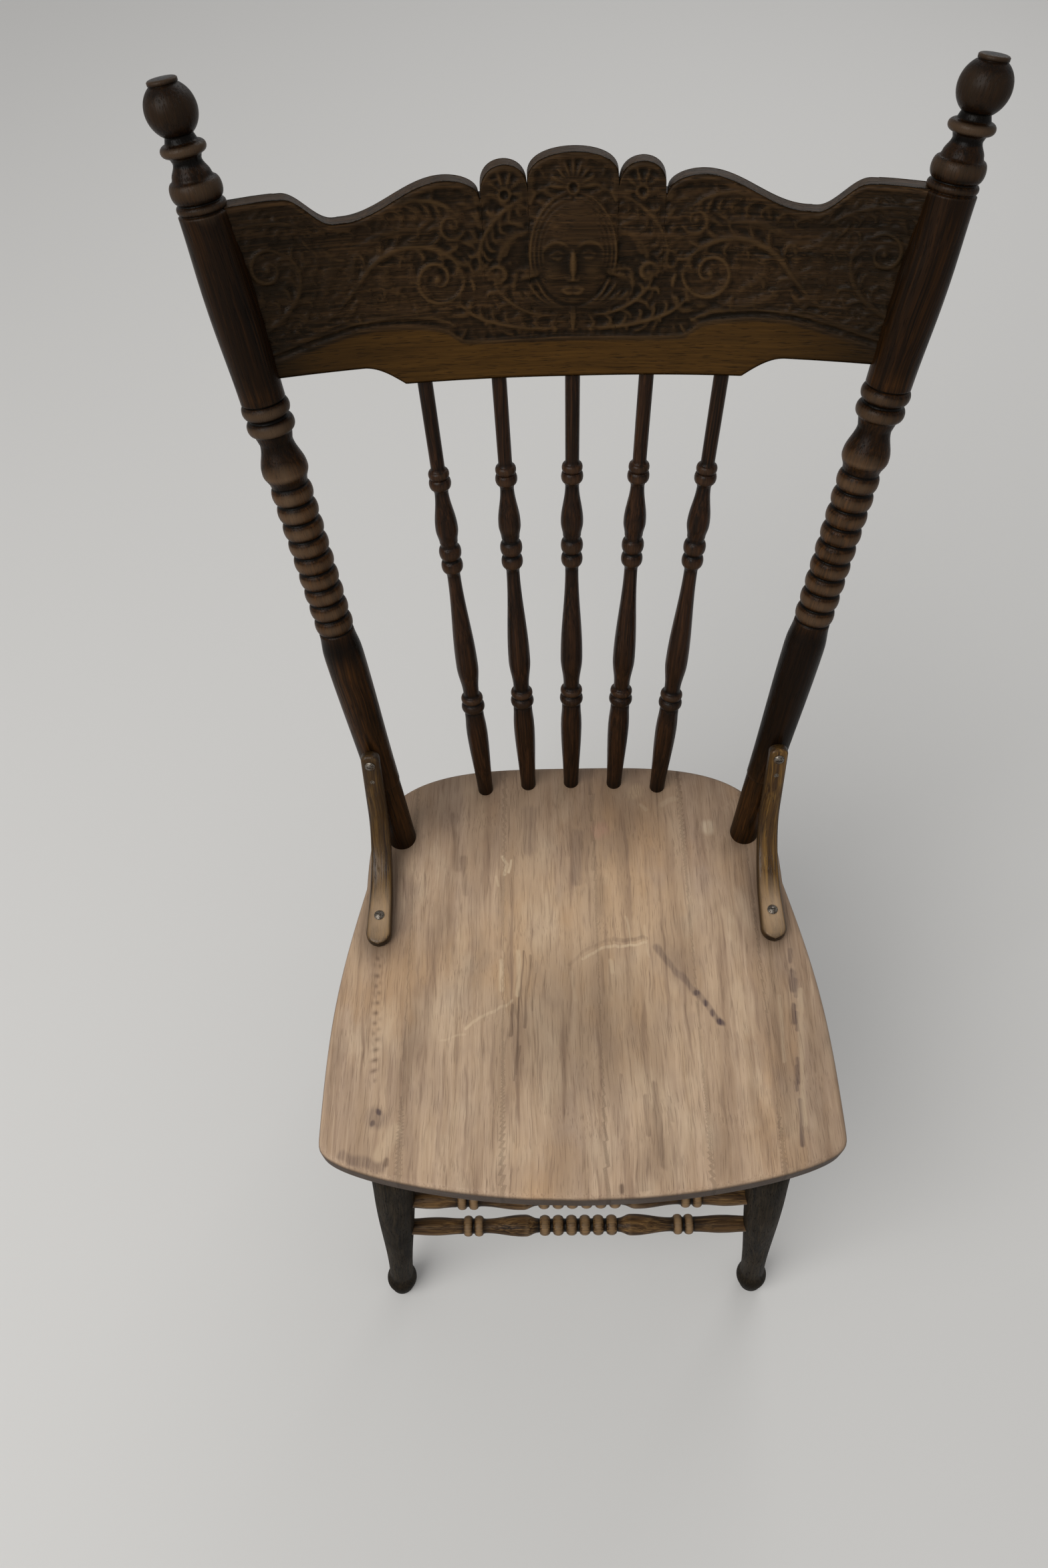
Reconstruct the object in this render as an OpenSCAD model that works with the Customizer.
// Pressed-back side chair: a plank seat on turned legs, and a back of two turned
// posts, five turned spindles and a bent crest rail, held by two bent hip braces.
// X runs across, Y to the back and Z up. The chair stands on Z = 0, with the middle
// of its width and of its depth on the Z axis. Left and right are as seen from in front.

/* [Seat] */
// Height of the seat's top above the floor
seat_h = 445; // [380:1:560]
// Thickness of the plank
seat_t = 26; // [21:0.5:36]
// Width across the front, where the seat is widest
seat_w = 421; // [360:1:520]
// Width at the waist, just in front of the posts
seat_waist_w = 374; // [330:1:460]
// Length of the sides, front to back
seat_side = 212; // [170:1:280]
// How far the sides bow out, half way along them
side_bow = 7; // [0:0.5:7]
// How far the front edge bows out between its corners
front_bow = 30; // [15:1:45]
// How far back the rounding of the front corners reaches
front_corner = 31; // [20:1:50]
// How far the rounded back reaches past the sides
back_bow = 125; // [100:1:160]
// Squareness of the front corners
front_square = 7; // [3:0.5:10]
// Squareness of the back corners
back_square = 3.4; // [2:0.1:4]
// Rounding of the seat's top and bottom edges
seat_edge = 5; // [2:0.5:8]
// Depth of the scoop worn and cut into the seat
scoop_depth = 4; // [1:0.5:6]
// Radius of the scoop, as seen from above
scoop_r = 135; // [90:1:150]

/* [Back] */
// Angle at which the back leans, from upright
lean = 16.6; // [8:0.1:22]
// Angle at which each post leans outwards
splay = 7.5; // [2:0.1:10]
// Distance of each post from the middle, at the seat
post_x = 157.3; // [135:0.1:165]
// Distance of the posts behind the start of the seat's rounded back
post_set = 50.7; // [40:0.1:70]
// Radius of a post where it enters the seat
post_foot_r = 12.6; // [10:0.1:15]
// Radius of a post at its plain swells
post_r = 17; // [14:0.1:20]
// Number of rings in the stack on each post
ring_count = 9; // [3:1:9]
// Spacing of the rings in the stack
ring_pitch = 14.1; // [10:0.1:15]
// Radius of the turned ball on each post
ball_r = 15.8; // [12:0.1:20]

/* [Crest rail] */
// Distance from the seat up to the rail's lower edge, along the lean
crest_low = 418.5; // [400:0.1:505]
// Height of the rail at its ends
crest_end_h = 109; // [90:1:140]
// How far the rail's middle hangs below its ends
crest_drop = 13; // [10:0.1:25]
// How far the middle lobe stands above the ends
crest_peak = 18.5; // [10:0.5:30]
// Half the width of the rail's straight lower edge
crest_mid = 117; // [110:1:130]
// Thickness of the rail
crest_t = 18; // [14:0.5:22]
// Depth of the bend, measured at the middle
crest_bow = 36; // [20:1:50]

/* [Spindles] */
// Number of spindles
spindle_count = 5; // [3:1:5]
// Spacing of the spindles at the seat
spindle_foot_gap = 40.4; // [34:0.1:46]
// Spacing of the spindles at the rail
spindle_head_gap = 51.9; // [40:0.1:54]
// Distance of the middle spindle behind the posts, at the seat
spindle_set = 57; // [45:1:62]
// Radius of the curve on which the spindles stand in the seat
spindle_arc = 500; // [300:10:900]
// Radius of a spindle's plain top, where it enters the rail
spindle_r = 5.2; // [4:0.1:7]
// Radius of a spindle's foot, where it enters the seat
spindle_foot_r = 6.8; // [5:0.1:8]

/* [Legs] */
// Distance of a front foot from the middle
front_foot_x = 191.5; // [170:0.1:220]
// Distance of a front leg from the middle, under the seat
front_head_x = 155; // [130:0.1:175]
// Distance of a front foot in front of the seat's middle
front_foot_y = 192.5; // [170:0.1:230]
// Distance of a front leg in front of the seat's middle, under the seat
front_head_y = 155; // [130:0.1:170]
// Distance of a rear foot from the middle
rear_foot_x = 176; // [150:0.1:200]
// Distance of a rear leg from the middle, under the seat
rear_head_x = 134; // [110:0.1:145]
// Distance of a rear foot behind the seat's middle
rear_foot_y = 215; // [180:0.1:250]
// Distance of a rear leg behind the seat's middle, under the seat
rear_head_y = 122; // [100:0.1:132]
// Radius of a leg at its thickest
leg_r = 18.2; // [16:0.1:21]
// Radius of a leg at its ankle
ankle_r = 12; // [10:0.1:14]
// Radius of the bulb at a front foot
bulb_r = 15.6; // [13:0.1:18]
// Radius of a front foot where it stands on the floor
foot_r = 12.2; // [9:0.1:13]

/* [Stretchers] */
// Height of the upper front stretcher
front_high = 297; // [280:1:325]
// Height of the lower front stretcher
front_lower = 214; // [200:1:235]
// Height of the upper side stretchers
side_high = 256; // [240:1:268]
// Height of the lower side stretchers
side_lower = 176; // [160:1:190]
// Height of the rear stretcher
rear_level = 228; // [210:1:240]
// Radius of the beads on the front stretchers
bead_r = 9.4; // [8:0.1:11]
// Spacing of the beads at the middle of a front stretcher
bead_pitch = 12.7; // [10:0.1:14]
// Radius of a plain stretcher at its middle
rail_r = 10; // [8:0.1:12]
// Radius of a stretcher's tenons
rail_tenon_r = 6; // [5:0.1:7]
// Depth of a stretcher's tenon, from the leg's middle to its end
rail_tenon_in = 4; // [2:0.5:8]

/* [Hip braces] */
// Width of a brace at its foot on the seat
brace_w = 22; // [18:0.5:26]
// Width of a brace at its top on the post
brace_top_w = 15; // [12:0.5:18]
// Thickness of a brace
brace_t = 11; // [9:0.5:14]
// Length of a brace along the seat, from its tip to the corner of its bend
brace_run = 90; // [80:1:110]
// Length of a brace up the post, from the corner of its bend
brace_rise = 119; // [100:1:140]
// Radius of the bend, at the middle of the brace
brace_bend = 72; // [55:1:80]
// Distance of a brace outside its post, at the seat
brace_out = 14.5; // [12:0.5:18]
// Radius of a screw's head
screw_head_r = 4.4; // [3.5:0.1:5.5]
// Radius of a screw's shank
screw_r = 2; // [1.5:0.1:2.5]
// Length of a screw's shank
screw_len = 23; // [20:0.5:26]

/* [Hidden] */

$fn = 64;
gap = 0.15;                 // clearance all round a tenon, a screw or a seated face
tenon_deep = 18;            // how far tenons go into the seat
socket_spare = 1;           // room left past the end of a tenon
post_tenon_r = 9;
crest_tenon_deep = 15;          // how far spindles go into the rail
leg_tenon_r = 11;
bead_steps = 6;             // straight stretches in one bead's section
edge_steps = 5;             // steps in the rounding of the seat's edge
side_steps = 12;            // straight stretches in one side of the seat
far = 900;                  // reach of the cutting blocks
spin = 40;                  // turns a round piece about its own axis, off the way it leans

seat_under = seat_h - seat_t;
seat_half = (seat_side + front_bow + front_corner + back_bow)/2;
side_y0 = front_bow + front_corner - seat_half;        // front end of the sides
side_y1 = side_y0 + seat_side;          // back end of the sides
post_y = side_y1 + post_set;

// The back's plane leans about the line where the posts meet the seat. In it,
// x runs across, and w up the lean from the seat's top.
crest_end_w = crest_low + crest_drop;           // lower edge of the rail's ends
crest_top_w = crest_end_w + crest_end_h;        // top edge of the rail's ends
crest_span = post_x + crest_top_w*tan(splay);   // half the width between the posts' middles
crest_arc = (crest_span*crest_span + crest_bow*crest_bow)/(2*crest_bow);

// Distances along a post, from the seat's top
stretch = 1/cos(splay);
post_shaft0 = crest_end_w*stretch - 13;
pair_s = post_shaft0 - 6;
pair_pitch = 12;
neck_s = pair_s - pair_pitch - 12.5;
vase_s = neck_s - 21.5;
stack_s = vase_s - 18;                          // top ring of the stack
stack_foot = stack_s - (ring_count - 1)*ring_pitch - ring_pitch/2;
post_shaft1 = crest_top_w*stretch - 3;
ball_s = post_shaft1 + 56;
button_s = ball_s + ball_r*0.85;                // foot of the button on the ball
button_r = 9.2;

leg_len_spare = 14;                             // length kept past the cutting planes
leg_end = 9;                                    // plain length at each end of a leg, where it is cut
foot_lift = bulb_r*1.9;                         // height of the bulb above the floor
ankle_lift = foot_lift + 26;

back_y = post_y + (crest_end_w + crest_end_h + crest_peak)*sin(lean)
         + (crest_bow + crest_t/2)*cos(lean);
front_y = min(leg_at("front", 1, foot_lift)[1] - bulb_r*1.02, side_y0 - front_corner - front_bow);
shift_y = -(front_y + back_y)/2;                // puts the middle of the depth at Y = 0

dark_oak = "#3b2418";
crest_oak = "#5a3a22";
worn_oak = "#a58a6c";
brace_oak = "#7a5232";
leg_oak = "#4c3c2c";
steel = "#b9b4ac";

// ---- helpers ----

function lerp(a, b, t) = a + (b - a)*t;

// Points [s, r] round a half-round bead, from its lower to its upper edge
function bead(s, w, r0, r1) =
    [for (i = [0:bead_steps]) let (a = 180*i/bead_steps) [s - w/2*cos(a), r0 + (r1 - r0)*sin(a)]];

// Points [s, r] along a smooth run from one radius to another, level at both ends
function flow(s0, s1, r0, r1, n = 6) =
    [for (i = [0:n]) let (t = i/n) [lerp(s0, s1, t), lerp(r0, r1, (1 - cos(180*t))/2)]];

// A turned piece from its section's points [s, r], standing on Z
module turned(section) {
    last = len(section) - 1;
    rotate_extrude()
        polygon(concat([[0, section[0][0]]],
                       [for (p = section) [p[1], p[0]]],
                       [[0, section[last][0]]]));
}

// Stands children on a point, with their Z along the way to another point
module along(from, to) {
    d = to - from;
    translate(from)
        rotate([0, acos(d[2]/norm(d)), atan2(d[1], d[0])])
            rotate([0, 0, spin])
                children();
}

module in_place() translate([0, shift_y, 0]) children();

// The back's own frame: x across, y through the rail, z up the lean
module in_back() translate([0, post_y, seat_h]) rotate([-lean, 0, 0]) children();

module below(z) translate([-far, -far, z - far]) cube([2*far, 2*far, far]);
module above(z) translate([-far, -far, z]) cube([2*far, 2*far, far]);

// ---- seat ----

// Right half of the outline, from the middle of the front to the middle of the back
function seat_half_outline(inset) =
    let (a = seat_w/2 - inset, b = front_corner - inset, c = seat_waist_w/2 - inset, d = back_bow - inset)
    concat(
        [for (i = [0:18]) let (q = 90*i/18, x = pow(sin(q), 2/front_square))
            [a*x, side_y0 - b*pow(cos(q), 2/front_square) - front_bow*(1 - x*x)]],
        [for (i = [1:side_steps - 1]) let (t = i/side_steps)
            [lerp(a, c, t) + side_bow*sin(180*t), lerp(side_y0, side_y1, t)]],
        [for (i = [0:18]) let (q = 90*i/18)
            [c*pow(cos(q), 2/back_square), side_y1 + d*pow(sin(q), 2/back_square)]]);

module seat_outline(inset) {
    half = seat_half_outline(inset);
    n = len(half) - 1;
    polygon(concat(half, [for (i = [1:n - 1]) [-half[n - i][0], half[n - i][1]]]));
}

// The plank, its edges rounded in steps: nested slabs, each a little narrower and taller
module plank()
    for (k = [0:edge_steps]) let (q = 90*k/edge_steps, rise = seat_edge*(1 - sin(q)))
        translate([0, 0, seat_under + rise])
            linear_extrude(seat_t - 2*rise) seat_outline(seat_edge*(1 - cos(q)));

// A scoop with a round rim, as a slice of a large ball
module scoop() {
    r = (scoop_r*scoop_r + scoop_depth*scoop_depth)/(2*scoop_depth);
    translate([0, side_y0 + scoop_r*0.62, seat_h - scoop_depth + r])
        sphere(r, $fn = 200);
}

module socket(r, deep) translate([0, 0, -deep]) cylinder(r = r + gap, h = deep + 20);

module seat() {
    color(worn_oak) in_place()
    difference() {
        plank();
        scoop();
        for (side = [-1, 1]) {
            at_post(side) socket(post_tenon_r, tenon_deep + socket_spare);
            at_leg_head("front", side) leg_socket();
            at_leg_head("rear", side) leg_socket();
            brace_frame(side) foot_screw_hole();
        }
        for (i = [1:spindle_count])
            at_spindle(i) socket(spindle_foot_r, tenon_deep + socket_spare);
    }
}

// ---- back posts ----

// A post's own frame: z along the post, from the seat's top
module at_post(side)
    in_back() translate([side*post_x, 0, 0]) rotate([0, side*splay, 0]) children();

function post_section() = concat(
    [[-leg_len_spare, post_foot_r], [stack_foot*0.3, post_foot_r]],
    flow(stack_foot*0.3 + 1, stack_foot - 24, post_foot_r + 1.2, post_r - 1),
    flow(stack_foot - 22, stack_foot - 1, post_r - 1.1, post_r - 3),
    [for (i = [0:ring_count - 1])
        each bead(stack_s - (ring_count - 1 - i)*ring_pitch, ring_pitch - 1.4, post_r - 4.6, post_r - 1.9)],
    flow(vase_s - 10, vase_s, post_r - 3.6, post_r - 0.4),
    flow(vase_s + 1, neck_s, post_r - 0.45, post_r - 5.3),
    bead(pair_s - pair_pitch, pair_pitch - 2, post_r - 3.4, post_r - 0.2),
    bead(pair_s, pair_pitch - 2, post_r - 3.4, post_r - 0.2),
    flow(post_shaft0, lerp(post_shaft0, post_shaft1, 0.55), post_r - 1.6, post_r),
    flow(lerp(post_shaft0, post_shaft1, 0.57), post_shaft1, post_r, post_r - 1),
    finial_section(post_shaft1));

// The turned top of a post, above its plain shaft
function finial_section(s) = concat(
    bead(s + 3.6, 5, post_r - 3, post_r - 1.2),
    bead(s + 13, 12, post_r - 3.6, post_r - 0.6),
    flow(s + 20.5, s + 29, post_r - 4.6, 9),
    bead(s + 35.6, 7, 10.2, ball_r - 1.6),
    [for (i = [0:10]) let (a = lerp(-56, 58, i/10)) [ball_s + ball_r*sin(a), ball_r*cos(a)]],
    [[button_s, button_r], [button_s + 2, button_r], [button_s + 3, button_r - 1.4]]);

module post(side) {
    color(dark_oak) in_place()
    difference() {
        union() {
            difference() {
                at_post(side) turned(post_section());
                below(seat_h);
            }
            at_post(side) translate([0, 0, -tenon_deep]) cylinder(r = post_tenon_r, h = tenon_deep + 12);
        }
        crest_tenon(side, gap);
        brace_frame(side) brace_bar(gap);
        brace_frame(side) top_screw_hole();
        brace_frame(side) pin_hole();
    }
}

module back_post_left() post(-1);
module back_post_right() post(1);

// ---- crest rail ----

// Right half of the rail's face, from the middle of the lower edge to the middle of the top
function crest_half_outline() =
    let (lo = crest_low, e = crest_end_w, t = crest_top_w, end = crest_span + 4)
    concat(
        [[0, lo], [crest_mid, lo + 0.8]],
        [for (i = [1:8]) let (q = i/8) [crest_mid + 28*q, lerp(lo + 0.8, e + 1, sin(90*q))]],
        [[end, e - 1], [end, t]],
        hump(crest_span - 42, t + 1.5, crest_span - 2, t),
        hump(crest_span - 76, t - 15.5, crest_span - 46, t + 1.3),
        hump(82, t + 5, crest_span - 80, t - 15.3),
        [for (i = [1:5]) let (q = 90*i/5) [82 - 22*sin(q), t + 5 - 11*(1 - cos(q))]],
        lobe(44, 15, t - 5, t + 12.6),
        lobe_half(0, 29, t + 1, t + crest_peak));

// A smooth run between two heights, taken from the outer point to the inner one
function hump(x0, w0, x1, w1) =
    [for (i = [1:8]) let (q = i/8) [lerp(x1, x0, q), lerp(w1, w0, (1 - cos(180*q))/2)]];

// A rounded lobe standing on the top edge, from its outer foot to its inner foot
function lobe(x, half, w0, w1) =
    [for (i = [0:10]) let (q = 180*i/10) [x + half*cos(q), w0 + (w1 - w0)*pow(sin(q), 0.7)]];
function lobe_half(x, half, w0, w1) =
    [for (i = [0:6]) let (q = 90*i/6) [x + half*cos(q), w0 + (w1 - w0)*pow(sin(q), 0.7)]];

module crest_face() {
    half = crest_half_outline();
    n = len(half) - 1;
    polygon(concat(half, [for (i = [1:n - 1]) [-half[n - i][0], half[n - i][1]]]));
}

// A board of one thickness, bent to an arc and standing in the back's frame
module bent_board(t) {
    translate([0, crest_bow - crest_arc, 0])
        difference() {
            cylinder(r = crest_arc + t/2, h = far, $fn = 360);
            translate([0, 0, -1]) cylinder(r = crest_arc - t/2, h = far + 2, $fn = 360);
        }
}

// The tenon at one end of the rail; room is the clearance around it
module crest_tenon(side, room) {
    deep = 5;
    thick = 10;
    back = post_r + 6;
    shoulder = 12;
    at_post(side)
        translate([side > 0 ? -back : -deep - room, -thick/2 - room, crest_end_w*stretch + shoulder - room])
            cube([back + deep + room, thick + 2*room, crest_end_h - 2*shoulder + 2*room]);
}

module crest_rail() {
    color(crest_oak) in_place()
    difference() {
        union() {
            difference() {
                in_back() intersection() {
                    bent_board(crest_t);
                    rotate([90, 0, 0]) translate([0, 0, -far/2]) linear_extrude(far) crest_face();
                }
                for (side = [-1, 1])
                    at_post(side) translate([0, 0, post_shaft0 - 40])
                        cylinder(r = post_r + gap, h = post_shaft1 - post_shaft0 + 80);
                outside_posts();
            }
            for (side = [-1, 1]) crest_tenon(side, 0);
        }
        for (i = [1:spindle_count])
            at_spindle(i) cylinder(r = spindle_r + gap, h = spindle_len(i) + crest_tenon_deep + socket_spare);
    }
}

// What lies beyond the middle of each post
module outside_posts()
    for (side = [-1, 1])
        at_post(side) translate([side > 0 ? 0 : -far, -far/2, -far/2]) cube([far, far, 2*far]);

// ---- spindles ----

function spindle_place(i) = i - (spindle_count + 1)/2;

function spindle_foot(i) =
    let (x = spindle_place(i)*spindle_foot_gap)
    [x, post_y + spindle_set - x*x/(2*spindle_arc), seat_h];

// Where a spindle's middle meets the rail's lower edge
function spindle_head(i) =
    let (x = spindle_place(i)*spindle_head_gap,
         v = crest_bow - crest_arc + sqrt(crest_arc*crest_arc - x*x))
    [x, post_y + v*cos(lean) + crest_low*sin(lean), seat_h + crest_low*cos(lean) - v*sin(lean)];

function spindle_len(i) = norm(spindle_head(i) - spindle_foot(i));

module at_spindle(i) along(spindle_foot(i), spindle_head(i)) children();

function spindle_section(len) =
    let (ring = len - 78, vase = ring - 43, pair = vase - 20.5, low = 109, r = spindle_r)
    concat(
        [[-tenon_deep, spindle_foot_r]],
        flow(0, 74, spindle_foot_r, r + 4),
        flow(76, 96, r + 3.9, r + 3),
        bead(low - 4.6, 9, r + 2.4, r + 4.9),
        bead(low + 4.2, 7, r + 2.2, r + 4.3),
        flow(low + 9, low + 11, r + 1.4, r + 1.4),
        flow(low + 12, low + 40, r + 1.6, r + 4.1),
        flow(low + 42, pair - 21, r + 4.1, r + 0.2, 10),
        bead(pair - 12.5, 10, r + 1.4, r + 3.5),
        bead(pair, 11, r + 1.4, r + 3.7),
        flow(pair + 6.6, pair + 8, r + 1.6, r + 1.6),
        flow(pair + 9, vase, r + 2, r + 3.6),
        flow(vase + 1, ring - 11, r + 3.6, r + 0.1),
        bead(ring - 3.4, 9, r + 1, r + 3.2),
        bead(ring + 4, 7, r + 0.8, r + 2.7),
        [[ring + 9.5, r], [len + crest_tenon_deep, r]]);

module spindle(i)
    color(dark_oak) in_place() at_spindle(i) turned(spindle_section(spindle_len(i)));

// ---- legs ----

function leg_foot(row, side) = row == "front"
    ? [side*front_foot_x, -front_foot_y, 0]
    : [side*rear_foot_x, rear_foot_y, 0];
function leg_head(row, side) = row == "front"
    ? [side*front_head_x, -front_head_y, seat_under]
    : [side*rear_head_x, rear_head_y, seat_under];
function leg_at(row, side, z) = lerp(leg_foot(row, side), leg_head(row, side), z/seat_under);
function leg_len(row) = norm(leg_head(row, 1) - leg_foot(row, 1));

module at_leg_head(row, side)
    translate(leg_head(row, side) - leg_foot(row, side)) at_leg(row, side) children();
module at_leg(row, side) along(leg_foot(row, side), leg_head(row, side)) children();

module leg_socket() translate([0, 0, -30]) cylinder(r = leg_tenon_r + gap, h = 30 + tenon_deep + socket_spare);

function front_leg_section(len) = concat(
    [[-leg_len_spare, foot_r]],
    flow(leg_end, foot_lift, foot_r, bulb_r),
    flow(foot_lift + 2, ankle_lift, bulb_r, ankle_r),
    flow(ankle_lift + 2, len - 95, ankle_r, leg_r - 0.3, 12),
    flow(len - 93, len - 50, leg_r - 0.3, leg_r, 3),
    flow(len - 48, len - leg_end, leg_r, leg_r - 2),
    [[len + leg_len_spare, leg_r - 2]]);

function rear_leg_section(len) = concat(
    [[-leg_len_spare, ankle_r]],
    flow(leg_end, len*0.5, ankle_r, leg_r - 1, 10),
    flow(len*0.5 + 2, len - leg_end, leg_r - 1, leg_r - 3, 6),
    [[len + leg_len_spare, leg_r - 3]]);

module leg(row, side) {
    color(leg_oak) in_place()
    difference() {
        union() {
            difference() {
                at_leg(row, side)
                    turned(row == "front" ? front_leg_section(leg_len(row)) : rear_leg_section(leg_len(row)));
                below(0);
                above(seat_under);
            }
            at_leg_head(row, side) translate([0, 0, -10]) cylinder(r = leg_tenon_r, h = 10 + tenon_deep);
        }
        leg_sockets(row, side);
    }
}

// The sockets in a leg for the stretchers that end in it
module leg_sockets(row, side) {
    if (row == "front") {
        rail_socket(front_ends(front_high), side);
        rail_socket(front_ends(front_lower), side);
    } else {
        rail_socket(rear_ends(), side);
    }
    rail_socket(side_ends(side, side_high), row == "front" ? -1 : 1);
    rail_socket(side_ends(side, side_lower), row == "front" ? -1 : 1);
}

// ---- stretchers ----

// The two ends of each stretcher, on the middles of its legs; the second is on the
// right, or at the back
function front_ends(z) = [leg_at("front", -1, z), leg_at("front", 1, z)];
function rear_ends() = [leg_at("rear", -1, rear_level), leg_at("rear", 1, rear_level)];
function side_ends(side, z) = [leg_at("front", side, z), leg_at("rear", side, z)];

module rail_socket(ends, which) {
    from = which > 0 ? ends[1] : ends[0];
    to = which > 0 ? ends[0] : ends[1];
    along(from, to)
        translate([0, 0, -rail_tenon_in - socket_spare])
            cylinder(r = rail_tenon_r + gap, h = rail_tenon_in + socket_spare + leg_r + 10);
}

// Radius of a leg at a height, on the sides of the stretchers
function leg_r_at(row, z) = row == "front"
    ? lookup(z*leg_len(row)/seat_under, front_leg_section(leg_len(row)))
    : lookup(z*leg_len(row)/seat_under, rear_leg_section(leg_len(row)));

function plain_rail_section(half) = concat(
    flow(-half, 0, rail_tenon_r + 1.2, rail_r, 8),
    flow(1, half, rail_r, rail_tenon_r + 1.2, 8));

// One half of a front stretcher, from its middle out
function bead_rail_half(half) =
    let (b = 3*bead_pitch, bulb = b + 12, pair = b + 56.5)
    concat(
        [for (i = [0:2]) each bead((i + 0.5)*bead_pitch, bead_pitch - 2.4, bead_r - 3.4, bead_r)],
        flow(b, bulb, bead_r - 3, bead_r + 0.4, 4),
        flow(bulb + 2, pair - 6.5, bead_r + 0.4, bead_r - 3),
        bead(pair, 8.4, bead_r - 2.6, bead_r),
        bead(pair + 10.3, 8.4, bead_r - 2.6, bead_r),
        flow(pair + 16.5, lerp(pair + 16.5, half, 0.5), bead_r - 2.4, bead_r - 1.2, 4),
        flow(lerp(pair + 16.5, half, 0.55), half, bead_r - 1.25, bead_r - 2.2, 4));

function bead_rail_section(half) =
    let (h = bead_rail_half(half), n = len(h) - 1)
    concat([for (i = [0:n]) [-h[n - i][0], h[n - i][1]]], h);

// A stretcher between two leg middles: its shoulders are coped to the legs
module stretcher(ends, rows, z, beaded) {
    span = norm(ends[1] - ends[0]);
    half = span/2 - leg_r_at(rows[0], z) + 6;
    color(beaded ? brace_oak : leg_oak) in_place() {
        difference() {
            along(ends[0], ends[1]) translate([0, 0, span/2])
                turned(beaded ? bead_rail_section(half) : plain_rail_section(half));
            for (k = [0, 1])
                leg_shape(rows[k], ends[k][0] > 0 ? 1 : -1);
        }
        along(ends[0], ends[1])
            translate([0, 0, -rail_tenon_in]) cylinder(r = rail_tenon_r, h = span + 2*rail_tenon_in);
    }
}

// A leg's outer form, grown by the clearance
module leg_shape(row, side) {
    section = row == "front" ? front_leg_section(leg_len(row)) : rear_leg_section(leg_len(row));
    at_leg(row, side) turned([for (p = section) [p[0], p[1] + gap]]);
}

// ---- hip braces ----

// Frame of a brace: its foot lies on the seat, with x out from the middle of the chair
module brace_frame(side)
    translate([side*(post_x + brace_out), post_y, seat_h]) children();

brace_corner_y = -(post_foot_r + 1.4 + brace_t/2)/cos(lean);
brace_rise_dir = [sin(lean), cos(lean)];
brace_tan = brace_bend*tan((90 - lean)/2);

// Middle line of a brace, in the chair's side view: [y, z] from the tip to the top
function brace_line() =
    let (c = [brace_corner_y, brace_t/2],
         a = [c[0] - brace_tan, c[1]],
         o = [a[0], a[1] + brace_bend])
    concat([[c[0] - brace_run, c[1]]],
           [for (i = [0:12]) let (q = -90 + (90 - lean)*i/12) o + brace_bend*[cos(q), sin(q)]],
           [c + brace_rise*brace_rise_dir]);

// Direction square to the middle line at each of its points
function line_normal(p, i) =
    let (a = p[max(i - 1, 0)], b = p[min(i + 1, len(p) - 1)], d = (b - a)/norm(b - a)) [-d[1], d[0]];

// The brace's bar in its frame, before it is let into the post; room thickens it
module brace_bar(room) {
    line = brace_line();
    n = len(line) - 1;
    h = brace_t/2 + room;
    lower = [for (i = [0:n]) line[i] - h*line_normal(line, i)];
    upper = [for (i = [0:n]) line[n - i] + h*line_normal(line, n - i)];
    intersection() {
        rotate([90, 0, 90]) translate([0, 0, -brace_w/2 - room])
            linear_extrude(brace_w + 2*room) polygon(concat(lower, upper));
        brace_plan(room);
    }
}

// The brace's outline from above: round at the tip and narrower towards the post
module brace_plan(room) {
    tip = brace_corner_y - brace_run + brace_w/2;
    end = brace_corner_y + brace_rise*sin(lean) + brace_t;
    linear_extrude(brace_rise + brace_t) {
        translate([0, tip]) circle(brace_w/2 + room);
        polygon([[-brace_w/2 - room, tip], [brace_w/2 + room, tip],
                 [brace_top_w/2 + room, end], [-brace_top_w/2 - room, end]]);
    }
}

foot_screw_y = brace_corner_y - brace_run + 26;
top_screw_rise = brace_rise - 9;
pin_rise = brace_rise - 27;

// Frames of the fasteners, with z out of the wood
module at_foot_screw() translate([0, foot_screw_y, brace_t]) children();
module at_rise(d)
    translate([0, brace_corner_y + d*sin(lean), brace_t/2 + d*cos(lean)])
        rotate([90 - lean, 0, 0]) translate([0, 0, brace_t/2]) children();

module shank_hole() translate([0, 0, -screw_len - socket_spare])
    cylinder(r = screw_r + gap, h = screw_len + socket_spare + 1, $fn = 24);
module foot_screw_hole() at_foot_screw() shank_hole();
module top_screw_hole() at_rise(top_screw_rise) shank_hole();
module pin_hole() at_rise(pin_rise) shank_hole();

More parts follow.
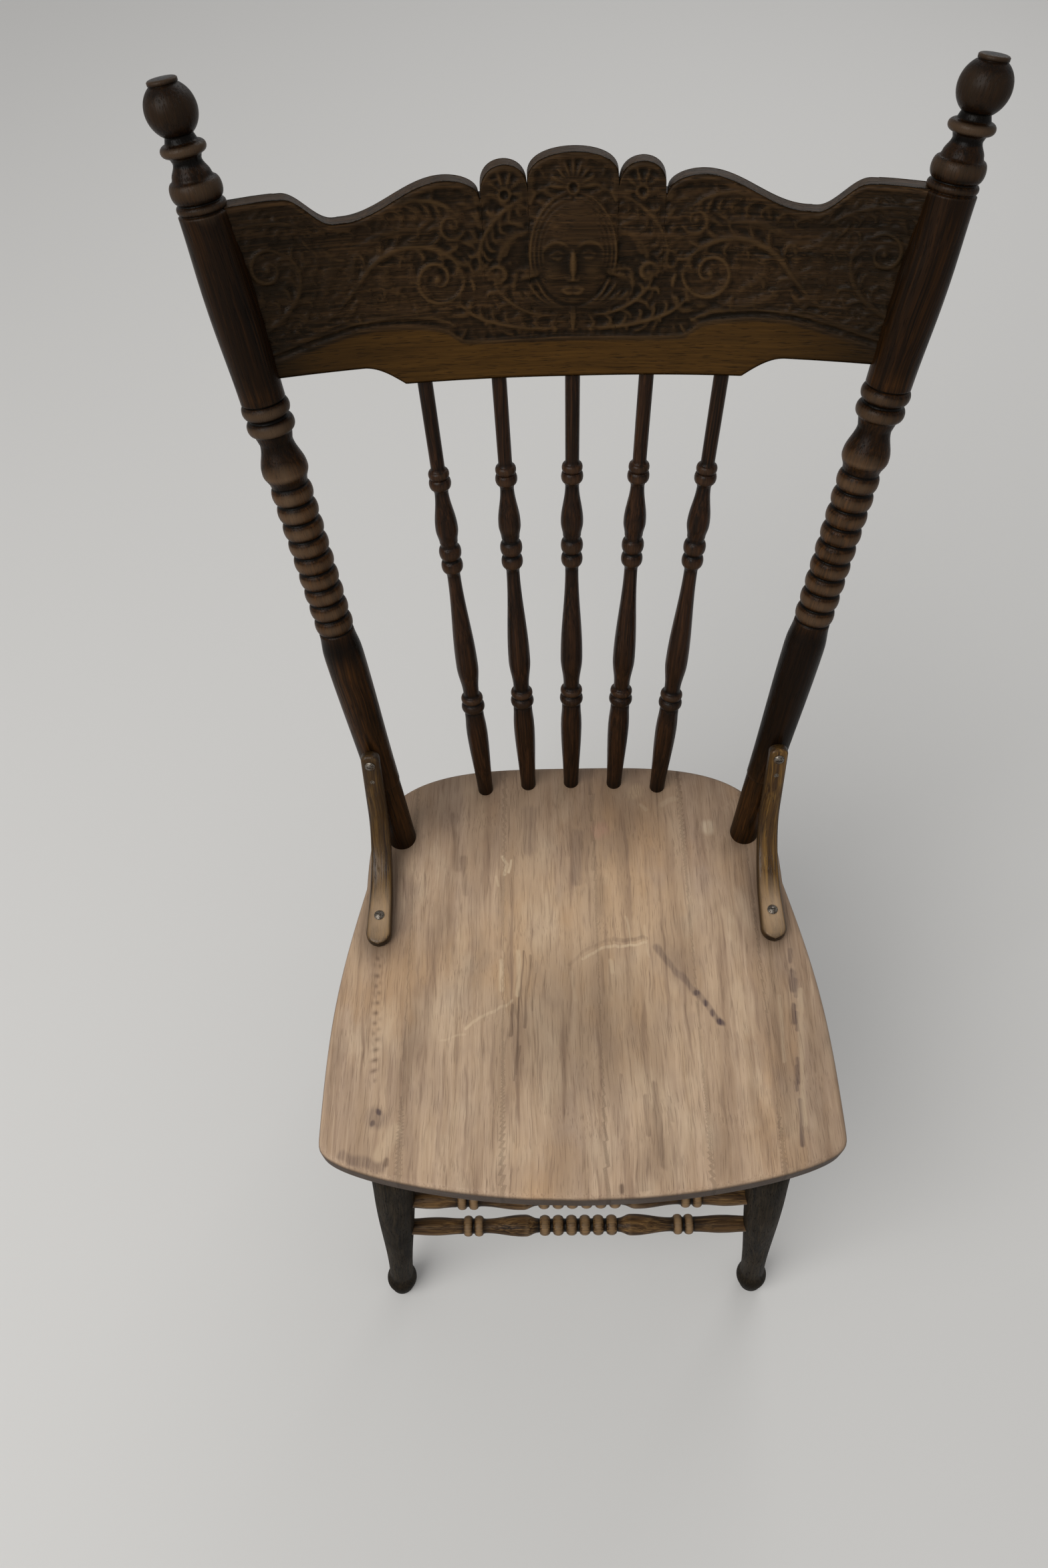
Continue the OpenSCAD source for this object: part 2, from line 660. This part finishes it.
module hip_brace(side) {
    color(brace_oak) in_place()
    difference() {
        brace_frame(side) brace_bar(0);
        at_post(side) turned([for (p = post_section()) [p[0], p[1] + gap]]);
        brace_frame(side) {
            foot_screw_hole();
            top_screw_hole();
            pin_hole();
        }
    }
}

module hip_brace_left() hip_brace(-1);
module hip_brace_right() hip_brace(1);

// A round-headed wood screw with a straight slot
module screw() {
    difference() {
        intersection() {
            translate([0, 0, 2.6 - screw_head_r*1.4]) sphere(screw_head_r*1.4, $fn = 40);
            cylinder(r = screw_head_r, h = 4, $fn = 40);
        }
        translate([-screw_head_r, -0.5, 1.5]) cube([2*screw_head_r, 1, 4]);
    }
    translate([0, 0, -screw_len]) cylinder(r = screw_r, h = screw_len + 0.5, $fn = 24);
}

module brace_screws()
    color(steel) in_place()
        for (side = [-1, 1])
            brace_frame(side) {
                at_foot_screw() screw();
                at_rise(top_screw_rise) screw();
            }

// Plain pins let in flush with the braces, under their top screws
module brace_pins()
    color(steel) in_place()
        for (side = [-1, 1])
            brace_frame(side) at_rise(pin_rise) translate([0, 0, -screw_len])
                cylinder(r = screw_r, h = screw_len, $fn = 24);

// ---- the nodes ----

seat();
back_post_left();
back_post_right();
crest_rail();
spindle(1);  // spindle_1
spindle(2);  // spindle_2
spindle(3);  // spindle_3
spindle(4);  // spindle_4
spindle(5);  // spindle_5
hip_brace_left();
hip_brace_right();
brace_screws();
brace_pins();
leg("front", -1);  // front_leg_left
leg("front", 1);  // front_leg_right
leg("rear", -1);  // rear_leg_left
leg("rear", 1);  // rear_leg_right
stretcher(front_ends(front_high), ["front", "front"], front_high, true);  // front_stretcher_upper
stretcher(front_ends(front_lower), ["front", "front"], front_lower, true);  // front_stretcher_lower
stretcher(side_ends(-1, side_high), ["front", "rear"], side_high, false);  // side_stretcher_upper_left
stretcher(side_ends(1, side_high), ["front", "rear"], side_high, false);  // side_stretcher_upper_right
stretcher(side_ends(-1, side_lower), ["front", "rear"], side_lower, false);  // side_stretcher_lower_left
stretcher(side_ends(1, side_lower), ["front", "rear"], side_lower, false);  // side_stretcher_lower_right
stretcher(rear_ends(), ["rear", "rear"], rear_level, false);  // rear_stretcher
